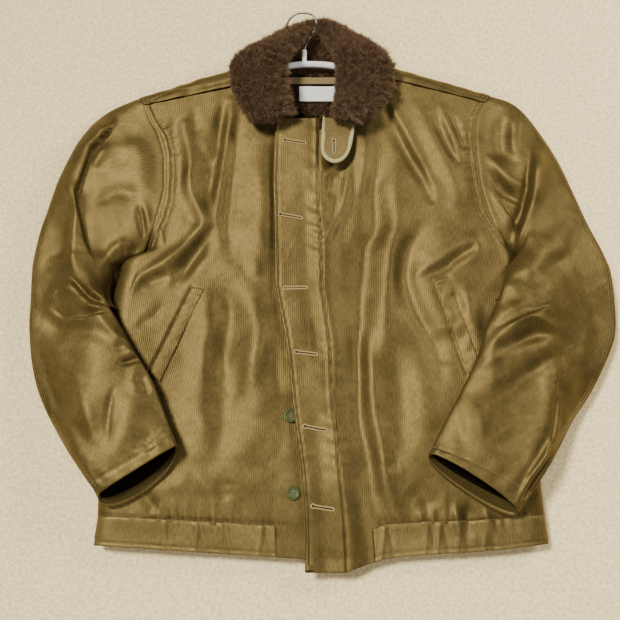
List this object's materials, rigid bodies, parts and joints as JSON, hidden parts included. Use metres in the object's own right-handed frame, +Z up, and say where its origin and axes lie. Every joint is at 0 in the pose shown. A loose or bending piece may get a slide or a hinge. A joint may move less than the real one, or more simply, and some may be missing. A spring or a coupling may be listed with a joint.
{
  "type": "deck jacket on a hanger",
  "caption": "Short work jacket in olive-khaki corded cloth with a brown pile collar, button placket, hem band and slanted pockets, laid flat on its back with its hanger inside",
  "frame": {"origin": "middle of the overall box, on the surface the jacket lies on", "axes": "+X across the jacket toward the wearer's left sleeve, +Y from the hem to the collar, +Z up, out of the front"},
  "size_m": [0.7751, 0.7626, 0.0842],
  "materials": {
    "jacket_cloth": "corded satin cloth",
    "binding_tape": "flat tape",
    "brown_pile": "dense pile",
    "label_cloth": "woven, blank",
    "button_green": "satin",
    "hanger_white": "smooth",
    "hook_wire": "drawn wire"
  },
  "bodies": {
    "root": {"back_panel": "jacket_cloth", "front_right": "jacket_cloth", "front_left": "jacket_cloth", "placket": "jacket_cloth", "hem_band_right": "jacket_cloth", "hem_band_left": "jacket_cloth", "hem_band_back": "jacket_cloth", "sleeve_right_top": "jacket_cloth", "sleeve_right_under": "jacket_cloth", "sleeve_left_top": "jacket_cloth", "sleeve_left_under": "jacket_cloth", "pocket_welt_right": "jacket_cloth", "pocket_welt_left": "jacket_cloth", "throat_strap": "jacket_cloth", "strap_binding": "binding_tape", "neck_tape": "binding_tape", "collar": "brown_pile", "collar_stand": "brown_pile", "neck_lining": "brown_pile", "neck_label": "label_cloth", "button_1": "button_green", "button_2": "button_green", "button_3": "button_green", "button_4": "button_green", "button_5": "button_green", "button_6": "button_green", "hanger_body": "hanger_white", "hanger_stem": "hanger_white", "hanger_hook": "hook_wire"}
  },
  "joints": []
}
